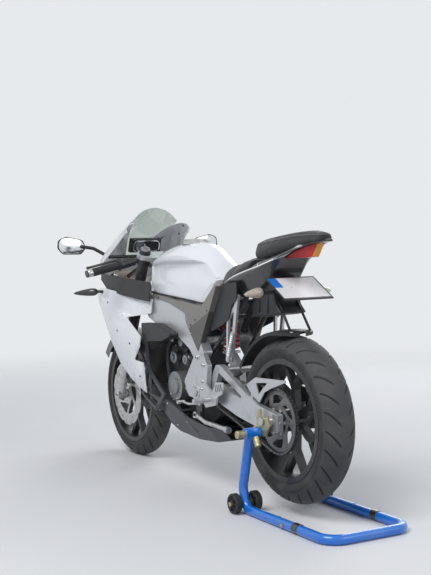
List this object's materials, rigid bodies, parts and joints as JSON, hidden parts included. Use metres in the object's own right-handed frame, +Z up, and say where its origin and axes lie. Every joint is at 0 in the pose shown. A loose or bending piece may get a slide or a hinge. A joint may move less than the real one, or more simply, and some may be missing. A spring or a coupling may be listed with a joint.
{
  "type": "sport motorcycle on a rear paddock stand",
  "caption": "Faired sport motorcycle held upright by a tubular rear paddock stand, with steering, turning wheels, folding side stand and hinged fuel cap.",
  "frame": {"origin": "on the floor, under the middle of the whole length and width", "axes": "+X forward, +Y to the rider's left, +Z up"},
  "size_m": [2.1059, 0.8344, 1.172],
  "materials": {
    "white_paint": "gloss",
    "black_plastic": "matte moulded",
    "grey_plastic": "satin dark grey",
    "black_gloss": "gloss black",
    "silver_frame": "satin painted cast aluminium",
    "dark_steel": "dull steel",
    "bright_steel": "brushed",
    "engine_metal": "dark cast alloy",
    "cover_metal": "satin grey alloy",
    "black_metal": "satin black",
    "red_paint": "gloss red",
    "blue_paint": "gloss blue",
    "zinc": "yellow zinc plate",
    "tyre_rubber": "matte rubber",
    "soft_rubber": "matte rubber",
    "seat_cover": "grained vinyl",
    "red_lens": "red lens",
    "clear_lens": "clear lens",
    "screen_tint": "clear tinted acrylic",
    "plate_white": "satin white"
  },
  "bodies": {
    "chassis": {"main_frame": "silver_frame", "subframes": "black_metal", "swingarm": "silver_frame", "rear_shafts": "bright_steel", "shock_body": "bright_steel", "shock_spring": "red_paint", "engine_block": "engine_metal", "engine_covers": "cover_metal", "radiator": "black_metal", "exhaust": "dark_steel", "chain": "dark_steel", "fuel_tank": "white_paint", "filler_ring": "bright_steel", "tail_fairing": "black_plastic", "rider_seat": "seat_cover", "pillion_seat": "seat_cover", "tail_lamp": "red_lens", "number_plate": "plate_white", "plate_hanger": "black_plastic", "indicators": "clear_lens", "nose_fairing": "white_paint", "headlamp": "clear_lens", "windscreen": "screen_tint", "cockpit_panels": "black_plastic", "side_fairings": "white_paint", "side_covers": "grey_plastic", "belly_pan": "grey_plastic", "mirrors": "black_plastic", "chain_guard": "silver_frame", "hugger": "black_plastic", "foot_hangers": "silver_frame", "foot_levers": "bright_steel", "rear_caliper": "black_metal", "paddock_stand": "blue_paint", "stand_hooks": "zinc"},
    "steering": {"fork_tubes": "black_metal", "fork_lowers": "bright_steel", "handlebars": "silver_frame", "grips": "soft_rubber", "bar_controls": "black_metal", "front_axle": "bright_steel", "front_fender": "black_gloss", "front_caliper": "black_metal"},
    "front_wheel": {"front_rim": "black_metal", "front_tyre": "tyre_rubber", "front_disc": "bright_steel"},
    "rear_wheel": {"rear_rim": "black_metal", "rear_tyre": "tyre_rubber", "rear_sprocket": "dark_steel", "rear_disc": "bright_steel"},
    "fuel_cap": {"fuel_cap": "bright_steel"},
    "side_stand": {"side_stand": "bright_steel"},
    "stand_wheels_left": {"stand_wheels_left": "soft_rubber"},
    "stand_wheels_right": {"stand_wheels_right": "soft_rubber"}
  },
  "joints": [
    {"name": "steer", "type": "hinge", "parent": "chassis", "child": "steering", "pos_m": [0.47828, 0, 0.86179], "axis": [-0.3987, 0, 0.9171], "range_deg": [-27, 27]},
    {"name": "front_wheel_spin", "type": "hinge", "parent": "steering", "child": "front_wheel", "pos_m": [0.757, 0, 0.296], "axis": [0, 1, 0], "continuous": true},
    {"name": "rear_wheel_spin", "type": "hinge", "parent": "chassis", "child": "rear_wheel", "pos_m": [-0.593, 0, 0.351], "axis": [0, 1, 0], "continuous": true},
    {"name": "fuel_cap_lid", "type": "hinge", "parent": "chassis", "child": "fuel_cap", "pos_m": [0.219, 0, 1.0213], "axis": [0, 1, 0], "range_deg": [0, 95]},
    {"name": "side_stand_fold", "type": "hinge", "parent": "chassis", "child": "side_stand", "pos_m": [-0.073, 0.123, 0.306], "axis": [0, 0.9781, 0.2079], "range_deg": [-105, 0]},
    {"name": "stand_wheels_left_spin", "type": "hinge", "parent": "chassis", "child": "stand_wheels_left", "pos_m": [-0.481, 0.17, 0.038], "axis": [0, 1, 0], "continuous": true},
    {"name": "stand_wheels_right_spin", "type": "hinge", "parent": "chassis", "child": "stand_wheels_right", "pos_m": [-0.481, -0.17, 0.038], "axis": [0, 1, 0], "continuous": true}
  ]
}
